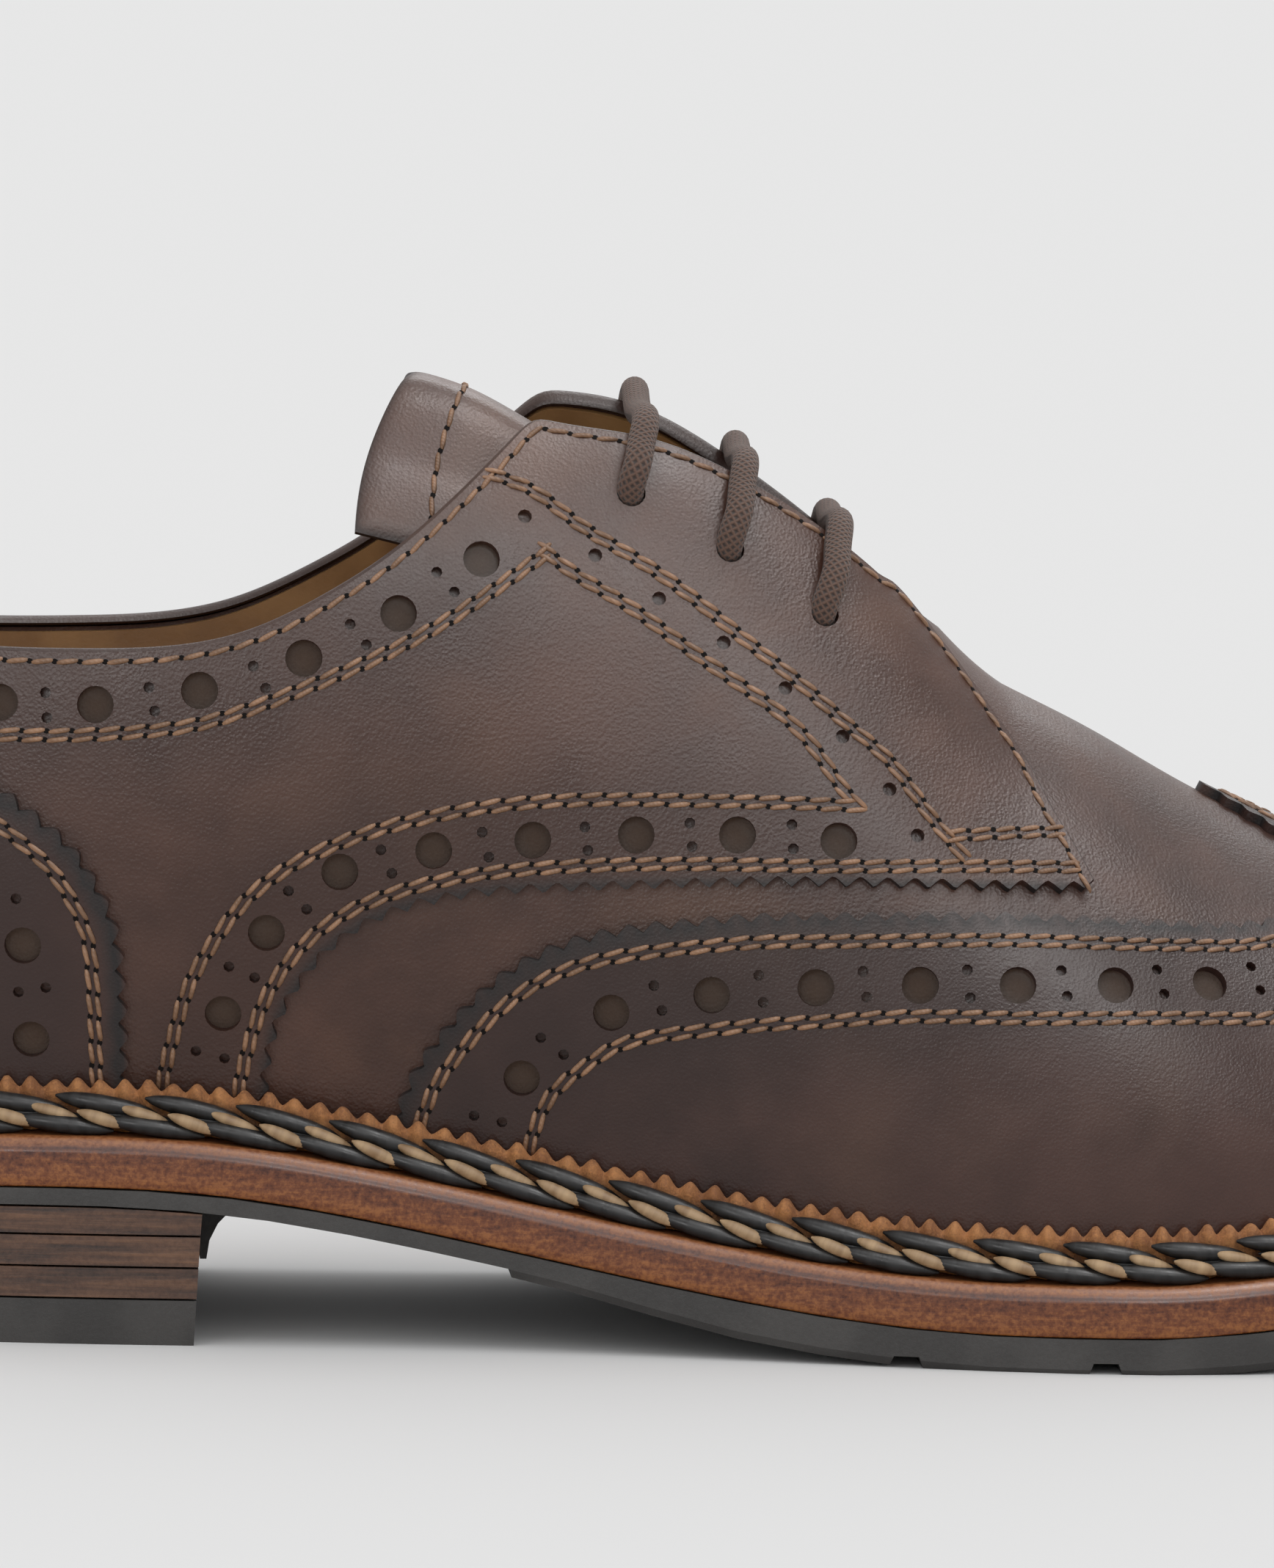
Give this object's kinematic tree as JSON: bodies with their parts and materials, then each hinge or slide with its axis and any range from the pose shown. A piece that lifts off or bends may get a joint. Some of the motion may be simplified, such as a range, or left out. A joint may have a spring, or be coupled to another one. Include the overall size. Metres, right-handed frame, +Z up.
{
  "type": "right brogue derby shoe",
  "caption": "Man's right wing-tip derby shoe in brown leather with open lacing, braided welt, leather midsole, rubber outsole and stacked heel",
  "frame": {"origin": "on the floor under the middle of the shoe's box", "axes": "+X heel to toe, +Y towards the inner (big toe) side, +Z up"},
  "size_m": [0.305, 0.1088, 0.1348],
  "materials": {
    "upper_leather": "waxed, fine grain, low sheen",
    "cap_leather": "waxed and burnished, fine grain, soft sheen",
    "lining_leather": "matt, undyed",
    "welt_leather": "matt, raw cut edge",
    "braid_cord": "waxed cord, black and cream",
    "midsole_leather": "polished edge",
    "heel_leather": "stained and polished edge",
    "sole_rubber": "matt, lightly dusty",
    "lace_cord": "woven, waxed"
  },
  "bodies": {
    "root": {"outsole": "sole_rubber", "midsole": "midsole_leather", "heel_top_piece": "sole_rubber", "heel_lift_1": "heel_leather", "heel_lift_2": "heel_leather", "heel_lift_3": "heel_leather", "storm_welt": "welt_leather", "welt_braid": "braid_cord", "insole": "lining_leather", "upper": "upper_leather", "quarters": "upper_leather", "wing_cap": "cap_leather", "heel_counter": "cap_leather", "tongue": "upper_leather", "lace_bar_1": "lace_cord", "lace_bar_2": "lace_cord", "lace_bar_3": "lace_cord"}
  },
  "joints": []
}
